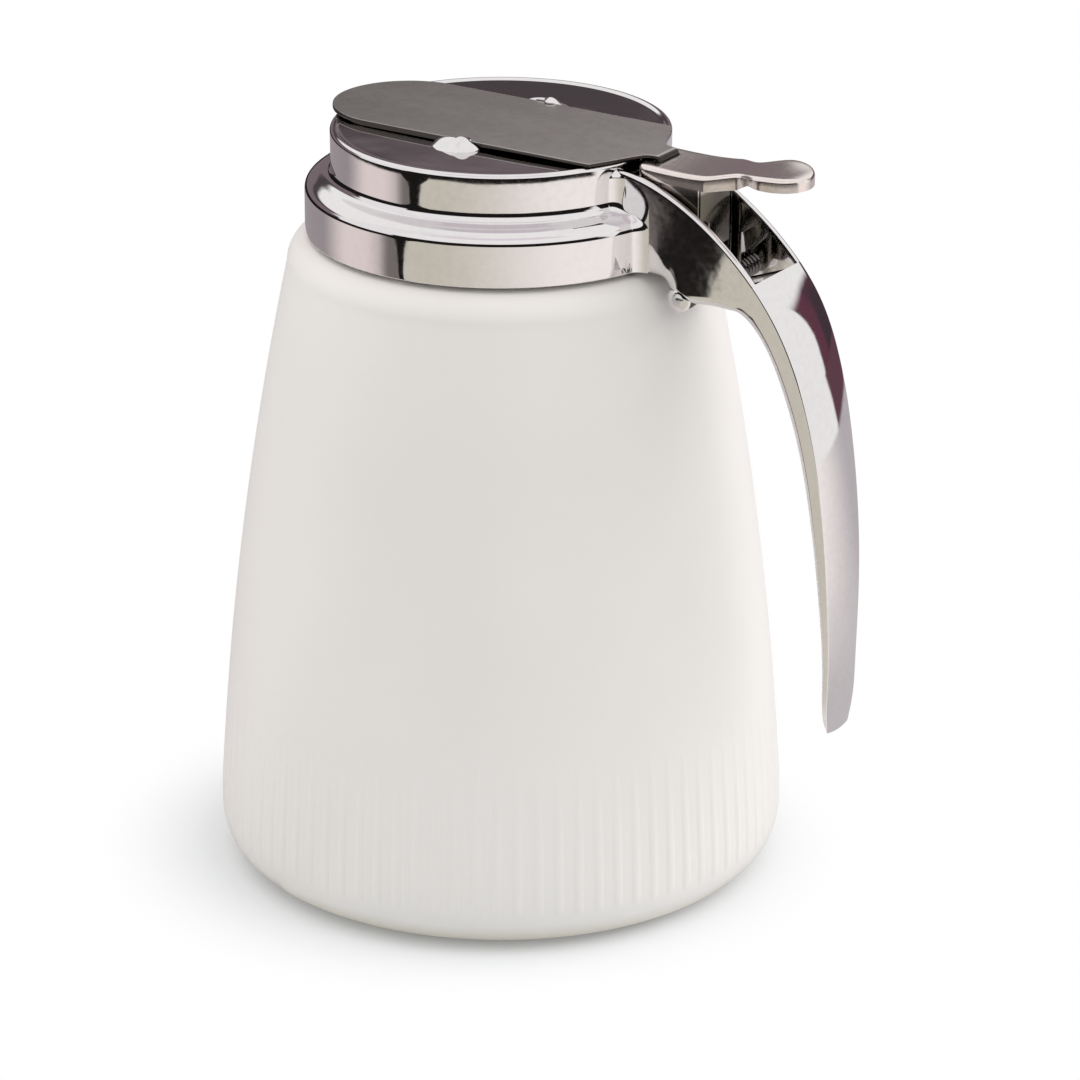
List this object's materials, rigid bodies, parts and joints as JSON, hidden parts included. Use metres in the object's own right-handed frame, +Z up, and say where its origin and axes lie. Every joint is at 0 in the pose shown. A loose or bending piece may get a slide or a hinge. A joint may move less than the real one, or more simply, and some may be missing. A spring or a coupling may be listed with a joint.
{
  "type": "syrup dispenser",
  "caption": "Table syrup dispenser: a ribbed plastic jar with a screw-on cast metal top, a long curved handle, and a thumb lever that slides a flat gate off the pouring slot.",
  "frame": {"origin": "centre of the jar's standing ring, on the table", "axes": "+Z up along the jar's axis, +X towards the handle, so the syrup pours over the rim at -X"},
  "size_m": [0.1413, 0.118, 0.1599],
  "materials": {
    "milky_plastic": "satin, slightly milky",
    "seal_rubber": "soft matte",
    "chrome_plate": "polished",
    "brushed_strip": "fine brushed, dull",
    "satin_nickel": "satin",
    "steel_pin": "turned",
    "spring_wire": "drawn wire"
  },
  "bodies": {
    "jar": {"jar": "milky_plastic"},
    "seal": {"gasket": "seal_rubber"},
    "cap": {"top_casting": "chrome_plate", "pivot_pin": "steel_pin", "torsion_spring": "spring_wire"},
    "lever": {"thumb_lever": "satin_nickel", "drive_pin": "steel_pin"},
    "gate": {"gate": "brushed_strip"}
  },
  "joints": [
    {"name": "cap_lift", "type": "slide", "parent": "jar", "child": "seal", "axis": [0, 0, 1], "range_m": [0, 0.0121]},
    {"name": "cap_unscrew", "type": "hinge", "parent": "seal", "child": "cap", "pos_m": [0, 0, 0.1357], "axis": [0, 0, 1], "range_deg": [0, 1080]},
    {"name": "lever_press", "type": "hinge", "parent": "cap", "child": "lever", "pos_m": [0.0479, 0, 0.1315], "axis": [0, 1, 0], "range_deg": [0, 30], "stiffness_Nm_per_rad": 0.15, "springref_deg": -17.19, "deforming": ["torsion_spring"]},
    {"name": "gate_slide", "type": "slide", "parent": "cap", "child": "gate", "axis": [1, 0, 0], "range_m": [0, 0.012]}
  ],
  "couplings": [
    {"joint": "cap_lift", "follows": "cap_unscrew", "m_per_rad": 0.00063662},
    {"joint": "gate_slide", "follows": "lever_press", "m_per_rad": 0.022705}
  ]
}
